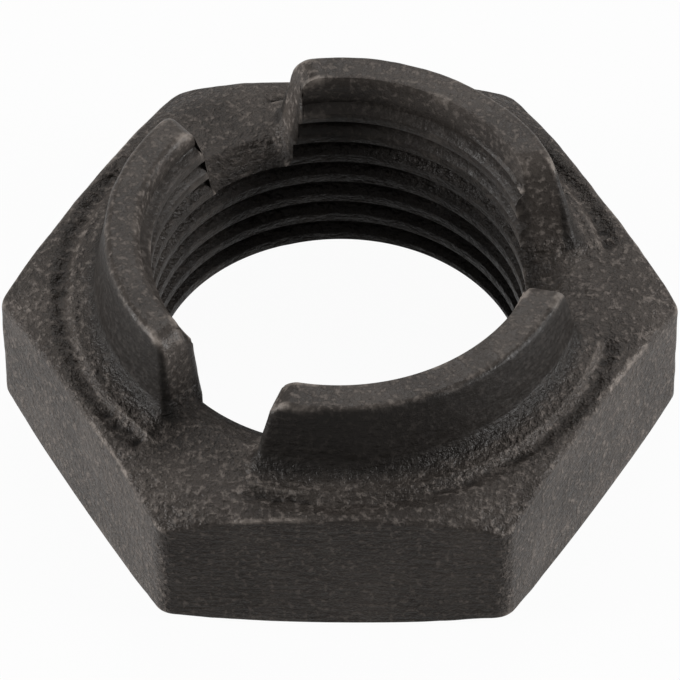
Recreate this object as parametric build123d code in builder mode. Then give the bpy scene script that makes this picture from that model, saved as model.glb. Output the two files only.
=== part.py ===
from build123d import *
import math
import os

# Hot-forged castle nut, M20 x 1.5, 30 mm across flats.
# One piece: a low hexagon with three curved lugs standing on its top face,
# parted by three slots for the tab of a locking plate or a cotter. The lugs
# stand over three of the six corners and the slots lie over the other three.
# Sizes in millimetres. The bearing face lies on z = 0 and the thread runs up +Z.
# The bore is cut to the crests of the thread.

# --- hexagon ---------------------------------------------------------------
across_flats = 30.0
body_height = 8.5            # top face at the mouth of the thread
corner_radius = 1.0          # forged rounding down each of the six corners
seat_angle = 14.5            # chamfer that lifts the corners off the bearing face
seat_bulge = 20.0            # radius of its slight outward curve
crown_start = 14.2           # radius where the top face starts to curve down
crown_fall = 0.35            # drop of the top face from the thread out to there
corner_height = 6.9          # where that curve reaches the sharp corners

# --- thread ----------------------------------------------------------------
thread_size = 20.0
thread_depth = 0.5           # how far the worn crests of the M20 x 1.5 thread stand in
mouth_reach = 1.2            # the countersinks at both ends open out beyond the thread
lead_angle = 30.0            # upper countersink, from the top face; the lower is 45
relief_depth = 1.6           # smooth counterbore down from the tips of the lugs

# --- lugs ------------------------------------------------------------------
overall_height = 13.0
lug_count = 3
lug_wall = 1.75              # thickness at the tips
lug_draft = 9.0              # forging draft of the outer wall
lug_foot_round = 1.1         # where the outer wall runs out onto the shoulder
nose_round = 0.9             # where an end turns over into the tip
edge_break = 0.3             # along the outer edge of the tips and down the ends

# --- shoulder and groove left by the die round the foot of each lug --------
shoulder_reach = 1.85        # how far it stands out beyond the tips
shoulder_rise = 0.1          # above the top face beside it
shoulder_round = 0.5
groove_width = 1.0
groove_depth = 0.45

# --- slots -----------------------------------------------------------------
slot_half_angle = 12.0       # at the root of the lugs
slot_draft = 10.0            # the slots open out towards the top

# Derived sizes
corner_reach = across_flats / math.sqrt(3)         # to the corners before rounding
relief_radius = thread_size / 2
bore_radius = relief_radius - thread_depth
mouth_radius = relief_radius + mouth_reach
mouth_depth = mouth_radius - bore_radius
lug_outside = relief_radius + lug_wall
crown_edge_height = body_height - crown_fall
corner_lift = (corner_reach - across_flats / 2) * math.tan(math.radians(seat_angle))
lead_depth = mouth_depth * math.tan(math.radians(lead_angle))
shoulder_radius = lug_outside + shoulder_reach
shoulder_top = crown_edge_height + shoulder_rise
groove_floor = crown_edge_height - groove_depth
groove_radius = shoulder_radius + groove_width / 2
lug_foot_height = shoulder_top + 0.3
wall_run = (overall_height - lug_foot_height) * math.tan(math.radians(lug_draft))
lug_foot_radius = lug_outside + wall_run
relief_floor = overall_height - relief_depth
root_height = body_height - 2 * lead_depth         # how deep the lugs are rooted
slot_reach = corner_reach * math.tan(math.radians(slot_half_angle))


def radius_of(edge):
    """Distance of the middle of an edge from the thread axis."""
    return math.hypot(edge.center().X, edge.center().Y)


def height_of(edge):
    return edge.center().Z


# Three tapering wedges that part the lugs.
with BuildPart() as slots:
    with BuildSketch(mode=Mode.PRIVATE) as wedge:
        with BuildLine():
            Polyline(
                (0, 0),
                (corner_reach, -slot_reach),
                (corner_reach, slot_reach),
                close=True,
            )
        make_face()
    with BuildSketch(Plane.XY.offset(root_height)):
        with PolarLocations(0, lug_count):
            add(wedge.sketch)
    extrude(amount=overall_height - root_height, taper=-slot_draft)

# The shallow groove outside each shoulder, left out where the slots run.
with BuildPart() as grooves:
    with BuildSketch(Plane.XZ):
        with BuildLine():
            Polyline(
                (groove_radius - groove_width, body_height + 1),
                (groove_radius, groove_floor),
                (groove_radius + groove_width / 2, crown_edge_height),
                (groove_radius + groove_width / 2, body_height + 1),
                close=True,
            )
        make_face()
    revolve(axis=Axis.Z)
    add(slots.part, mode=Mode.SUBTRACT)

# The crown of lugs: one turned ring, its outer wall drafted and run out on the
# shoulder, then parted by three tapering slots.
with BuildPart() as lugs:
    with BuildSketch(Plane.XZ):
        with BuildLine():
            Polyline(
                (bore_radius, root_height),
                (bore_radius, relief_floor),
                (relief_radius, relief_floor + relief_radius - bore_radius),
                (relief_radius, overall_height),
                (lug_outside, overall_height),
                (lug_foot_radius, lug_foot_height),
                (shoulder_radius, shoulder_top),
                (groove_radius, groove_floor),
                (groove_radius, root_height),
                close=True,
            )
        make_face()
        foot = vertices().sort_by_distance((lug_foot_radius, lug_foot_height))[0]
        fillet(foot, radius=lug_foot_round)
        brow = vertices().sort_by_distance((shoulder_radius, shoulder_top))[0]
        fillet(brow, radius=shoulder_round)
    revolve(axis=Axis.Z)

    add(slots.part, mode=Mode.SUBTRACT)

    # Turn the noses over first, then break the outer edge of each lug in one run
    tips = faces().group_by(Axis.Z)[-1]
    fillet(tips.edges().filter_by(GeomType.CIRCLE, reverse=True), radius=nose_round)
    upper_edges = edges().filter_by(
        lambda e: height_of(e) > lug_foot_height + lug_foot_round
    )
    outer_edges = upper_edges.filter_by(lambda e: radius_of(e) > lug_outside - 0.5)
    rims = outer_edges.filter_by(GeomType.CIRCLE).group_by(height_of)[-1]
    sides = outer_edges.filter_by(GeomType.CIRCLE, reverse=True)
    chamfer(rims + sides, length=edge_break)

# The nut: a rounded six-sided bar, trimmed by one turned profile that gives the
# bearing-face chamfer and the curved crown, then bored, and the lugs forged on.
with BuildPart() as castle_nut:
    with BuildSketch():
        RegularPolygon(across_flats / 2, 6, major_radius=False)
        fillet(vertices(), radius=corner_radius)
    extrude(amount=body_height)
    with BuildSketch(Plane.XZ):
        with BuildLine():
            top = Polyline(
                (0, body_height),
                (bore_radius, body_height),
                (crown_start, crown_edge_height),
            )
            crown = TangentArc(top @ 1, (corner_reach, corner_height), tangent=top % 1)
            side = Line(crown @ 1, (corner_reach, corner_lift))
            seat = RadiusArc(side @ 1, (across_flats / 2, 0), seat_bulge)
            Polyline(seat @ 1, (0, 0), top @ 0)
        make_face()
    revolve(axis=Axis.Z, mode=Mode.INTERSECT)

    with BuildSketch(Plane.XZ):
        with BuildLine():
            Polyline(
                (0, 0),
                (mouth_radius, 0),
                (bore_radius, mouth_depth),
                (bore_radius, body_height - lead_depth),
                (mouth_radius + mouth_depth, body_height + lead_depth),
                (0, body_height + lead_depth),
                close=True,
            )
        make_face()
    revolve(axis=Axis.Z, mode=Mode.SUBTRACT)
    add(grooves.part, mode=Mode.SUBTRACT)
    add(lugs.part)

os.makedirs("parts", exist_ok=True)
castle_nut.part.label = "castle_nut"
export_step(castle_nut.part, "parts/castle_nut.step")
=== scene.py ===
import math

import bmesh
import bpy
import numpy as np
from mathutils import Matrix, Vector


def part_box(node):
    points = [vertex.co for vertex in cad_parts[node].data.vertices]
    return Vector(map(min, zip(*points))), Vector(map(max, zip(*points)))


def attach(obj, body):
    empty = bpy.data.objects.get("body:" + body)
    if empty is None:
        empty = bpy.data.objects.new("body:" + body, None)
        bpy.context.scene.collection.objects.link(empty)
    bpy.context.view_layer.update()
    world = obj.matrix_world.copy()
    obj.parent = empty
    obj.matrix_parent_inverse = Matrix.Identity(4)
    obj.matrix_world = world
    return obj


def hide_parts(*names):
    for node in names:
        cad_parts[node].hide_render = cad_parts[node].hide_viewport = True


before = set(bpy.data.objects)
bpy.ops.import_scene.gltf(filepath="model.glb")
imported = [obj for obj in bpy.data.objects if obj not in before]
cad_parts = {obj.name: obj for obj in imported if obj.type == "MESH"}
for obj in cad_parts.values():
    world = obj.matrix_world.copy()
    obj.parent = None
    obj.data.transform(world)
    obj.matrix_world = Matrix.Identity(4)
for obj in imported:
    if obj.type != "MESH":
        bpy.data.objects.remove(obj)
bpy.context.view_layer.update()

# The nut is modelled in millimetres in the CAD frame and scaled to metres at the end.
MM = 0.001
low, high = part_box("castle_nut")
FLATS = (high.y - low.y) / MM
HEIGHT = (high.z - low.z) / MM
CORNER = FLATS / math.sqrt(3)

# --- sizes of the real nut, in millimetres ---------------------------------
CORNER_ROUND = 1.0
TOP = 8.5                # top face at the mouth of the thread
CROWN_START = 14.2       # where the top face starts to curve down
CROWN_SLOPE = 0.0745     # gentle fall of the top face out to there
CROWN_CURVE = 0.105      # how quickly it falls beyond
RIM_ROUND = 0.3
SEAT_SLOPE = 0.21        # chamfer of the bearing face under the corners
SEAT_CURVE = 0.03
SEAT_ROUND = 0.15

CREST = 9.5              # thread crests, worn wide and flat
ROOT = 10.0
PITCH = 1.5
CREST_HALF = 0.28        # half width of a crest, up the thread
FLANK_RUN = 0.29
BURR = 0.035             # lips turned up along the edges of a crest
FIRST_CREST = 3.42       # height of a crest at the back of the nut
MOUTH = 11.2
MOUTH_DEPTH = 1.7
LEAD_SLOPE = 0.49        # countersink that opens the thread into the slots
LEAD_HEIGHT = 7.5
RELIEF_DEPTH = 1.6

LUG_OUTSIDE = 11.75
LUG_DRAFT = math.radians(9)
LUG_ROOT = 6.54
NOSE_ROUND = 0.9
EDGE_ROUND = 0.35
FOOT_ROUND = 0.8
FLOOR_ROUND = 0.7        # where the ends meet the floor of the slots
SHOULDER = (12.7, 13.62)
SHOULDER_RISE = 0.12
GROOVE_DEPTH = 0.22

# Unevenness of the forged skin: depth, size of the swells and seed of each layer.
SKIN = ((0.022, 5.0, 11), (0.016, 1.6, 12), (0.007, 0.7, 13))

# Each lug: middle angle, height against the nominal one, and its two ends in
# order of angle. An end is its half angle from the middle of the slot at the
# root, its draft, both in degrees, and the rounding of its inner edge.
LUGS = (
    (60, 0.3, (9.4, 22, 0.25), (12, 10, 0.2)),
    (180, 0.0, (12, 10, 0.2), (12, 10, 0.55)),
    (300, -0.4, (9.2, 10, 0.2), (12, 10, 0.25)),
)


def ease(a, b, x):
    """Smooth step from 0 at a to 1 at b."""
    t = np.clip((x - a) / (b - a), 0, 1)
    return t * t * (3 - 2 * t)


def round_off(a, b, radius):
    """What lies inside both a and b, with the edge between them rounded."""
    corner = np.hypot(np.maximum(radius - a, 0), np.maximum(radius - b, 0))
    return np.maximum(radius, np.minimum(a, b)) - corner


def fill_in(a, b, radius):
    """What lies inside a or b, with the corner between them filled."""
    corner = np.hypot(np.maximum(radius + a, 0), np.maximum(radius + b, 0))
    return np.minimum(-radius, np.maximum(a, b)) + corner


def lumps(x, y, z, size, seed):
    """Smooth unevenness between about -1 and 1, with swells of a given size."""
    rng = np.random.default_rng(seed)
    total = 0
    for _ in range(9):
        wave = rng.normal(size=3)
        wave *= 2 * math.pi / size * rng.uniform(0.6, 1.5) / np.linalg.norm(wave)
        total = total + np.sin(x * wave[0] + y * wave[1] + z * wave[2] + rng.uniform(0, 6.28))
    return total / 4


# --- shape -----------------------------------------------------------------
def hexagon(angle):
    """Radius of the hexagon's side at each angle, corners rounded."""
    from_corner = np.radians((angle + 30) % 60 - 30)
    flat = FLATS / 2 / np.cos(np.radians(angle % 60 - 30))
    centre = CORNER - CORNER_ROUND / math.cos(math.radians(30))
    inside = np.maximum(CORNER_ROUND**2 - (centre * np.sin(from_corner)) ** 2, 0)
    arc = centre * np.cos(from_corner) + np.sqrt(inside)
    tangent = math.atan(CORNER_ROUND / 2 / (centre + CORNER_ROUND * math.cos(math.radians(30))))
    return np.where(np.abs(from_corner) < tangent, arc, flat)


def end_distance(angle, r, z, slot, side, half_angle, draft):
    """How far a point lies inside one end wall of a lug."""
    turn = np.radians((side * (angle - slot) + 180) % 360 - 180)
    half = math.radians(half_angle)
    across = (r * np.sin(turn) - r * np.cos(turn) * math.tan(half)) * math.cos(half)
    return across - (z - LUG_ROOT) * math.tan(math.radians(draft))


def lug_inside(angle, r, z):
    """How far a point lies inside the nearest lug."""
    wall = (LUG_OUTSIDE + (HEIGHT - z) * math.tan(LUG_DRAFT) - r) * math.cos(LUG_DRAFT)
    inner = r - relief(z) + 0.02
    best = None
    for middle, rise, first, last in LUGS:
        tip = HEIGHT + rise - z
        first_end = end_distance(angle, r, z, middle - 60, 1, first[0], first[1])
        last_end = end_distance(angle, r, z, middle + 60, -1, last[0], last[1])
        ends = np.minimum(
            round_off(round_off(first_end, tip, NOSE_ROUND), inner, first[2]),
            round_off(round_off(last_end, tip, NOSE_ROUND), inner, last[2]),
        )
        lug = round_off(ends, wall, EDGE_ROUND)
        best = lug if best is None else np.maximum(best, lug)
    return best


def lug_reach(angle, r):
    """How far a place on the top face is beside a lug, from 0 at a slot to 1."""
    best = None
    for middle, _, first, last in LUGS:
        first_end = end_distance(angle, r, TOP, middle - 60, 1, first[0], first[1])
        last_end = end_distance(angle, r, TOP, middle + 60, -1, last[0], last[1])
        inside = np.minimum(first_end, last_end)
        best = inside if best is None else np.maximum(best, inside)
    return ease(-0.25, 0.35, best)


def crown(angle, r):
    """Height of the top face, with the shoulder and groove round each lug."""
    beyond = np.maximum(r - CROWN_START, 0)
    face = TOP - CROWN_SLOPE * (r - CREST) - CROWN_CURVE * beyond**2
    reach = lug_reach(angle, r)
    band = ease(SHOULDER[0] - 0.3, SHOULDER[0] + 0.2, r)
    band = band * (1 - ease(SHOULDER[1] - 0.15, SHOULDER[1] + 0.1, r))
    groove = ease(SHOULDER[1] - 0.05, SHOULDER[1] + 0.3, r)
    groove = groove * (1 - ease(SHOULDER[1] + 0.45, SHOULDER[1] + 1.15, r))
    x = r * np.cos(np.radians(angle))
    y = r * np.sin(np.radians(angle))
    chatter = 1 + 0.4 * lumps(x, y, 0 * x, 0.9, 3)
    face = face + reach * (SHOULDER_RISE * band - GROOVE_DEPTH * groove * chatter)
    lead = LEAD_HEIGHT + LEAD_SLOPE * (r - CREST)
    return round_off(face, lead, 0.15)


def relief(z):
    """Radius of the smooth counterbore inside the tips of the lugs."""
    return CREST + np.clip(z - (HEIGHT - RELIEF_DEPTH), 0, ROOT - CREST)


def bore(angle, z):
    """Radius of the threaded bore with its lower countersink and upper relief."""
    along = (z - FIRST_CREST - PITCH * (angle - 90) / 360 + PITCH / 2) % PITCH - PITCH / 2
    side = np.abs(along)
    thread = CREST + (ROOT - CREST) * np.clip((side - CREST_HALF) / FLANK_RUN, 0, 1)
    thread = thread - BURR * np.exp(-(((side - CREST_HALF + 0.03) / 0.05) ** 2))
    mouth = MOUTH - z * (MOUTH - CREST) / MOUTH_DEPTH
    return np.maximum(np.maximum(thread, mouth), relief(z))


def height(angle, r):
    """Height of the top surface at each angle and radius, lugs included."""
    angle, r = np.broadcast_arrays(angle, r)
    face = crown(angle, r)
    foot = FLOOR_ROUND + (FOOT_ROUND - FLOOR_ROUND) * ease(12.0, 12.5, r) * lug_reach(angle, r)
    below = np.full(r.shape, 4.0)
    above = np.full(r.shape, HEIGHT + 1.5)
    for _ in range(26):
        middle = (below + above) / 2
        inside = fill_in(lug_inside(angle, r, middle), face - middle, foot) > 0
        below = np.where(inside, middle, below)
        above = np.where(inside, above, middle)
    return (below + above) / 2


# --- mesh ------------------------------------------------------------------
def columns():
    """Angles of the mesh columns, close together at the corners and lug ends."""
    runs = ((0, 2.4, 0.4), (2.4, 10, 1.3), (10, 25, 0.28), (25, 57.6, 1.2), (57.6, 62.4, 0.4))
    half = np.concatenate([np.linspace(a, b, round((b - a) / s), endpoint=False) for a, b, s in runs])
    half = half[half < 60]
    third = np.concatenate([half, [60.0], 120 - half[:0:-1]])
    return np.concatenate([third, third + 120, third + 240, [360.0]])[:, None]


def bore_rows(angle):
    """Rows up the bore: the countersink, the turns of the thread, the relief."""
    trial_r = np.linspace(CREST - 0.1, ROOT + 0.1, 17)
    tops = height(angle, trial_r[None, :])
    z = np.arange(6.0, HEIGHT + 0.6, 0.012)[None, :]
    place = np.clip((bore(angle, z) - trial_r[0]) / (trial_r[1] - trial_r[0]), 0, 15.999)
    whole = place.astype(int)
    part = place - whole
    column = np.arange(len(angle))[:, None]
    surface = tops[column, whole] * (1 - part) + tops[column, whole + 1] * part
    top = z[0, np.argmax(z > surface, axis=1)][:, None]

    sink = np.linspace(0, MOUTH_DEPTH, 8)[None, :] + 0 * angle
    edge, flank = CREST_HALF, CREST_HALF + FLANK_RUN
    steps = np.array([-flank, -edge - 0.02, -edge + 0.03, edge - 0.03, edge + 0.02, flank])
    turns = FIRST_CREST + PITCH * np.arange(-4, 9)
    thread = (turns[:, None] + steps[None, :]).ravel()[None, :] + PITCH * (angle - 90) / 360
    start = np.minimum(top, HEIGHT - RELIEF_DEPTH)
    thread = np.clip(thread, MOUTH_DEPTH, start)
    cone = start + (top - start) * np.linspace(0.12, 1, 9)[None, :]
    z = np.concatenate([sink, thread, cone], axis=1)
    r = bore(angle, z)
    return r, z


def top_rows(angle, inner, side):
    """Rows outwards over the lugs and the top face to the rim."""
    runs = ((inner, 11.3, 11), (11.3, 12.75, 30), (12.75, 14.7, 20), (14.7, side - RIM_ROUND, 7))
    r = [a + (b - a) * np.arange(1, n + 1)[None, :] / n + 0 * angle for a, b, n in runs]
    r = np.concatenate(r, axis=1)
    z = height(angle, r)
    bend = np.linspace(0, math.pi / 2, 6)[None, 1:]
    rim_r = side - RIM_ROUND + RIM_ROUND * np.sin(bend)
    rim_z = z[:, -1:] - RIM_ROUND * (1 - np.cos(bend)) - CROWN_SLOPE * RIM_ROUND
    return np.concatenate([r, rim_r], axis=1), np.concatenate([z, rim_z], axis=1)


def side_rows(angle, side, rim_z):
    """Rows down the flats and corners and in under the bearing face."""
    beyond = np.maximum(side - FLATS / 2, 0)
    foot = SEAT_SLOPE * beyond + SEAT_CURVE * beyond**2 + SEAT_ROUND
    t = np.arange(1, 15)[None, :] / 14
    down_z = rim_z + (foot - rim_z) * t
    down_r = side + 0 * down_z
    bend = np.linspace(0, math.pi / 2, 4)[None, 1:]
    turn_r = side - SEAT_ROUND * (1 - np.cos(bend))
    turn_z = foot - SEAT_ROUND * np.sin(bend)
    seat_edge = np.minimum(FLATS / 2, side - SEAT_ROUND)
    seat_r = side - SEAT_ROUND + (seat_edge - side + SEAT_ROUND) * np.arange(1, 6)[None, :] / 5
    lift = np.maximum(seat_r - FLATS / 2, 0)
    seat_z = SEAT_SLOPE * lift + SEAT_CURVE * lift**2
    under_r = seat_edge + (MOUTH + 0.02 - seat_edge) * np.arange(1, 5)[None, :] / 4
    r = np.concatenate([down_r, turn_r, seat_r, under_r], axis=1)
    z = np.concatenate([down_z, turn_z, seat_z, 0 * under_r], axis=1)
    return r, z


def forged_skin(place, fixed_rows):
    """Moves the outer rows in and out a little, as a forged skin is uneven."""
    along = np.roll(place, -1, 0) - np.roll(place, 1, 0)
    down = np.gradient(place, axis=1)
    normal = np.cross(along, down)
    length = np.linalg.norm(normal, axis=2, keepdims=True)
    normal = np.where(length > 1e-9, normal / np.maximum(length, 1e-9), 0)
    x, y, z = place[..., 0], place[..., 1], place[..., 2]
    radius = np.hypot(x, y)
    amount = sum(depth * lumps(x, y, z, size, seed) for depth, size, seed in SKIN)
    amount = amount * ease(10.3, 11.2, radius) * ease(0.02, 0.5, z)
    amount[:, :fixed_rows] = 0
    return place + normal * amount[..., None]


def nut_mesh():
    """The whole nut as one grid: columns round it, rows once round its section."""
    angle = columns()
    side = hexagon(angle)
    bore_r, bore_z = bore_rows(angle)
    top_r, top_z = top_rows(angle, bore_r[:, -1:], side)
    side_r, side_z = side_rows(angle, side, top_z[:, -1:])
    r = np.concatenate([bore_r, top_r, side_r], axis=1)
    z = np.concatenate([bore_z, top_z, side_z], axis=1)
    turn = np.radians(angle)
    place = np.stack([r * np.cos(turn), r * np.sin(turn), z], axis=2)
    fixed = bore_r.shape[1]
    skin = forged_skin(place[:-1], fixed)
    place[:-1] = skin
    place[-1, fixed:] = skin[0, fixed:]

    count, rows = r.shape
    grid = np.arange(count * rows).reshape(count, rows)
    after = np.roll(grid, -1, axis=1)
    quads = np.stack([grid[:-1], grid[1:], after[1:], after[:-1]], axis=2).reshape(-1, 4)
    mesh = bpy.data.meshes.new("forged_nut")
    mesh.from_pydata((place.reshape(-1, 3) * MM).tolist(), [], quads.tolist())
    return mesh


def weld(mesh):
    """Joins the columns and rows that meet, and keeps the sharp edges crisp."""
    shape = bmesh.new()
    shape.from_mesh(mesh)
    bmesh.ops.remove_doubles(shape, verts=shape.verts, dist=0.002 * MM)
    bmesh.ops.recalc_face_normals(shape, faces=shape.faces)
    shape.to_mesh(mesh)
    shape.free()
    mesh.polygons.foreach_set("use_smooth", np.ones(len(mesh.polygons), bool))
    mesh.set_sharp_from_angle(angle=math.radians(38))


def mark(mesh, name, values):
    """Keeps one number a vertex on the mesh, for the material."""
    attribute = mesh.attributes.new(name, "FLOAT", "POINT")
    attribute.data.foreach_set("value", values.astype(np.float32))


def edge_wear_and_shade(mesh, place):
    """How sharply each vertex stands out, averaged over its neighbours; it drives both the worn edges
    and the painted shade in the hollows.
    """
    count = len(place)
    normal = np.zeros(count * 3)
    mesh.vertex_normals.foreach_get("vector", normal)
    normal = normal.reshape(-1, 3)
    ends = np.zeros(len(mesh.edges) * 2, np.int32)
    mesh.edges.foreach_get("vertices", ends)
    a, b = ends.reshape(-1, 2).T
    gap = place[a] - place[b]
    length = np.maximum(np.linalg.norm(gap, axis=1), 0.05)
    bend = ((normal[a] - normal[b]) * gap).sum(axis=1) / length
    sharp = np.zeros(count)
    share = np.zeros(count)
    for end in (a, b):
        np.add.at(sharp, end, bend)
        np.add.at(share, end, length)
    sharp = sharp / np.maximum(share, 1e-6)
    for _ in range(2):
        total = sharp.copy()
        near = np.ones(count)
        for end, other in ((a, b), (b, a)):
            np.add.at(total, end, sharp[other])
            np.add.at(near, end, 1)
        sharp = total / near
    return sharp


def mark_surfaces(mesh):
    """Says where the bore, the lugs, the worn edges and the hollows are, and where shade is painted
    in the bore, on the lug walls and in the hollows.
    """
    place = np.zeros(len(mesh.vertices) * 3)
    mesh.vertices.foreach_get("co", place)
    place = place.reshape(-1, 3) / MM
    radius = np.hypot(place[:, 0], place[:, 1])
    z = place[:, 2]
    # Painted shade inside the threaded bore, half as strong at the top of the bore.
    mark(mesh, "bore", (1 - ease(10.02, 10.3, radius)) * (1 - ease(11.6, 12.4, z) * 0.5))
    mark(mesh, "lug", ease(8.6, 9.6, z))
    # Painted shade: marks the outer walls of the lugs, to be darkened in the colour.
    wall = ease(11.55, 11.8, radius) * (1 - ease(12.9, 13.2, radius)) * ease(8.25, 8.7, z)
    mark(mesh, "lug_wall_shade", wall * (1 - ease(12.6, 13.0, z)))
    sharp = edge_wear_and_shade(mesh, place)
    mark(mesh, "rubbed", ease(0.7, 2.2, sharp))
    # Painted shade in the hollows, where the surface curves inward.
    mark(mesh, "hollow_shade", ease(0.4, 2.0, -sharp))


mesh = nut_mesh()
weld(mesh)
mark_surfaces(mesh)
nut = bpy.data.objects.new("forged_nut", mesh)
bpy.context.scene.collection.objects.link(nut)
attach(nut, "root")
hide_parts("castle_nut")


# --- material --------------------------------------------------------------
DARK_SKIN = (0.017, 0.0143, 0.0125)
PALE_SKIN = (0.033, 0.028, 0.0245)
PALE_GRAIN = (0.095, 0.082, 0.073)
# Near black, for the pits in the skin and for the painted shade on the lug walls and in the hollows.
PIT_AND_SHADE = (0.005, 0.0043, 0.0038)
# Colour of the painted shade inside the threaded bore.
BORE_SHADE = (0.008, 0.0068, 0.006)
RUBBED_STEEL = (0.15, 0.13, 0.115)
WHITE = (1, 1, 1, 1)


def steel():
    """Dark phosphate over a forged skin, with worn brighter edges, and painted shade in the bore, on
    the lug walls and in the hollows.
    """
    made = bpy.data.materials.new("phosphated_steel")
    made.use_nodes = True
    tree = made.node_tree
    shader = tree.nodes["Principled BSDF"]
    shader.inputs["Metallic"].default_value = 0.05
    shader.inputs["Specular IOR Level"].default_value = 0.08

    def node(kind, **settings):
        item = tree.nodes.new(kind)
        for key, value in settings.items():
            setattr(item, key, value)
        return item

    def noise(scale, detail, stretch=(1, 1, 1)):
        where = node("ShaderNodeMapping")
        where.inputs["Scale"].default_value = stretch
        tree.links.new(coords.outputs["Object"], where.inputs["Vector"])
        texture = node("ShaderNodeTexNoise")
        texture.inputs["Scale"].default_value = scale
        texture.inputs["Detail"].default_value = detail
        texture.inputs["Roughness"].default_value = 0.6
        tree.links.new(where.outputs["Vector"], texture.inputs["Vector"])
        return texture.outputs["Fac"]

    def spread(value, a, b, low_value=0.0, high_value=1.0):
        ramp = node("ShaderNodeMapRange", interpolation_type="SMOOTHSTEP")
        ramp.inputs["From Min"].default_value = a
        ramp.inputs["From Max"].default_value = b
        ramp.inputs["To Min"].default_value = low_value
        ramp.inputs["To Max"].default_value = high_value
        tree.links.new(value, ramp.inputs["Value"])
        return ramp.outputs["Result"]

    def attribute(name):
        return node("ShaderNodeAttribute", attribute_name=name).outputs["Fac"]

    def blend(factor, first, second):
        mix = node("ShaderNodeMix", data_type="RGBA")
        tree.links.new(factor, mix.inputs["Factor"])
        for value, socket in ((first, mix.inputs[6]), (second, mix.inputs[7])):
            if isinstance(value, tuple):
                socket.default_value = (*value, 1)
            else:
                tree.links.new(value, socket)
        return mix.outputs[2]

    def times(first, second):
        product = node("ShaderNodeMath", operation="MULTIPLY")
        for value, socket in ((first, product.inputs[0]), (second, product.inputs[1])):
            if isinstance(value, (int, float)):
                socket.default_value = value
            else:
                tree.links.new(value, socket)
        return product.outputs[0]

    def plus(first, second):
        total = node("ShaderNodeMath", operation="ADD")
        tree.links.new(first, total.inputs[0])
        tree.links.new(second, total.inputs[1])
        return total.outputs[0]

    coords = node("ShaderNodeTexCoord")
    patches = noise(260, 5)
    grains = noise(3000, 2)
    pits = noise(6500, 2)
    streaks = noise(1500, 3, (0.7, 0.7, 2.6))

    colour = blend(spread(patches, 0.3, 0.75), DARK_SKIN, PALE_SKIN)
    colour = blend(times(spread(grains, 0.5, 0.7), 0.6), colour, PALE_GRAIN)
    colour = blend(times(spread(pits, 0.55, 0.7), 0.6), colour, PIT_AND_SHADE)
    # Painted shade: the outer walls of the lugs are darkened toward near black.
    colour = blend(times(attribute("lug_wall_shade"), 0.85), colour, PIT_AND_SHADE)
    # Painted shade inside the threaded bore.
    colour = blend(times(attribute("bore"), 0.7), colour, BORE_SHADE)
    rubbed = times(attribute("rubbed"), spread(grains, 0.3, 0.6, 0.3, 0.8))
    colour = blend(rubbed, colour, RUBBED_STEEL)
    # Painted shade in the hollows.
    colour = blend(times(attribute("hollow_shade"), 0.7), colour, PIT_AND_SHADE)
    tree.links.new(colour, shader.inputs["Base Color"])

    tree.links.new(spread(grains, 0.3, 0.7, 0.36, 0.58), shader.inputs["Roughness"])

    skin_height = plus(times(grains, 0.9), plus(times(pits, 0.35), times(streaks, 1.0)))
    skin_height = times(skin_height, spread(attribute("lug"), 0.0, 1.0, 1.0, 0.3))
    bump = node("ShaderNodeBump")
    bump.inputs["Strength"].default_value = 1.0
    bump.inputs["Distance"].default_value = 0.00018
    tree.links.new(skin_height, bump.inputs["Height"])
    tree.links.new(bump.outputs["Normal"], shader.inputs["Normal"])
    return made


nut.data.materials.append(steel())


# --- floor, light and camera -----------------------------------------------
def white_surface():
    """White to the camera and in reflections, keeping a soft shadow."""
    made = bpy.data.materials.new("white_floor")
    made.use_nodes = True
    tree = made.node_tree
    tree.nodes.clear()
    output = tree.nodes.new("ShaderNodeOutputMaterial")
    plain = tree.nodes.new("ShaderNodeBsdfDiffuse")
    plain.inputs["Color"].default_value = (0.3, 0.3, 0.3, 1)
    glow = tree.nodes.new("ShaderNodeEmission")
    glow.inputs["Color"].default_value = WHITE
    glow.inputs["Strength"].default_value = 1
    share = seen_directly(tree, 0.96)
    mix = tree.nodes.new("ShaderNodeMixShader")
    tree.links.new(share, mix.inputs[0])
    tree.links.new(plain.outputs[0], mix.inputs[1])
    tree.links.new(glow.outputs[0], mix.inputs[2])
    tree.links.new(mix.outputs[0], output.inputs["Surface"])
    return made


def seen_directly(tree, share):
    """A share for rays from the camera, in reflections and through glass."""
    rays = tree.nodes.new("ShaderNodeLightPath")
    value = rays.outputs["Is Camera Ray"]
    for name in ("Is Glossy Ray", "Is Transmission Ray"):
        either = tree.nodes.new("ShaderNodeMath")
        either.operation = "MAXIMUM"
        tree.links.new(value, either.inputs[0])
        tree.links.new(rays.outputs[name], either.inputs[1])
        value = either.outputs[0]
    part = tree.nodes.new("ShaderNodeMath")
    part.operation = "MULTIPLY"
    part.inputs[1].default_value = share
    tree.links.new(value, part.inputs[0])
    return part.outputs[0]


FLOOR_REACH = 2.0
FLOOR_GAP = 0.00002      # keeps the floor and the bearing face apart
floor_mesh = bpy.data.meshes.new("floor")
corners = [(x * FLOOR_REACH, y * FLOOR_REACH, 0) for x, y in ((-1, -1), (1, -1), (1, 1), (-1, 1))]
floor_mesh.from_pydata(corners, [], [(0, 1, 2, 3)])
floor = bpy.data.objects.new("floor", floor_mesh)
floor.location.z = -FLOOR_GAP
floor.data.materials.append(white_surface())
bpy.context.scene.collection.objects.link(floor)

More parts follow.
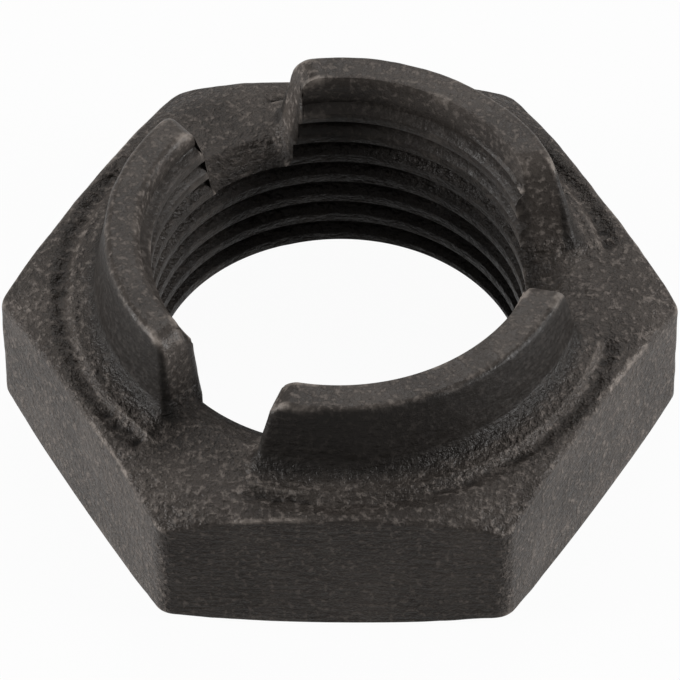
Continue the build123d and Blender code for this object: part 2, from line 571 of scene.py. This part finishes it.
world = bpy.data.worlds.new("studio")
bpy.context.scene.world = world
world.use_nodes = True
tree = world.node_tree
tree.nodes.clear()
dim = tree.nodes.new("ShaderNodeBackground")
dim.inputs["Color"].default_value = WHITE
dim.inputs["Strength"].default_value = 0.05
bright = tree.nodes.new("ShaderNodeBackground")
bright.inputs["Color"].default_value = WHITE
bright.inputs["Strength"].default_value = 1
mix = tree.nodes.new("ShaderNodeMixShader")
tree.links.new(seen_directly(tree, 1.0), mix.inputs[0])
tree.links.new(dim.outputs[0], mix.inputs[1])
tree.links.new(bright.outputs[0], mix.inputs[2])
tree.links.new(mix.outputs[0], tree.nodes.new("ShaderNodeOutputWorld").inputs["Surface"])


def soft_lamp(name, place, size, power):
    """A square area lamp turned to the nut."""
    data = bpy.data.lights.new(name, "AREA")
    data.size = size
    data.energy = power
    lamp = bpy.data.objects.new(name, data)
    lamp.location = place
    aim = Vector((0, 0, HEIGHT * MM / 2)) - Vector(place)
    lamp.rotation_euler = aim.to_track_quat("-Z", "Y").to_euler()
    bpy.context.scene.collection.objects.link(lamp)


soft_lamp("left", (-0.32, -0.04, 0.09), 0.14, 2.7)
soft_lamp("right", (0.32, -0.04, 0.09), 0.14, 2.7)
soft_lamp("above_behind", (0.02, 0.22, 0.30), 0.18, 1.0)


def camera_at(azimuth, elevation, roll, distance, aside, up, lens):
    """A camera round the nut; offsets and distance are in widths across flats."""
    forward = Vector((-math.sin(azimuth), math.cos(azimuth), 0)) * math.cos(elevation)
    forward.z = -math.sin(elevation)
    level = forward.cross(Vector((0, 0, 1))).normalized()
    upright = level.cross(forward)
    right = math.cos(roll) * level + math.sin(roll) * upright
    top = math.cos(roll) * upright - math.sin(roll) * level
    width = FLATS * MM
    place = (aside * right + up * top - distance * forward) * width
    camera = bpy.data.objects.new("camera", bpy.data.cameras.new("camera"))
    camera.data.lens = lens
    camera.data.sensor_width = 36
    turn = Matrix((right, top, -forward)).transposed().to_4x4()
    camera.matrix_world = Matrix.Translation(place) @ turn
    camera.data.clip_start = 0.01
    camera.data.clip_end = 20
    bpy.context.scene.collection.objects.link(camera)
    return camera


bpy.context.scene.camera = camera_at(
    azimuth=math.radians(1.196),
    elevation=math.radians(48.541),
    roll=math.radians(-0.327),
    distance=11.4025,
    aside=-0.0002,
    up=0.0988,
    lens=351.26,
)
bpy.context.scene.view_settings.view_transform = "Standard"


def plain(box):
    """A box as plain lists of numbers."""
    return [[float(value) for value in corner] for corner in box]
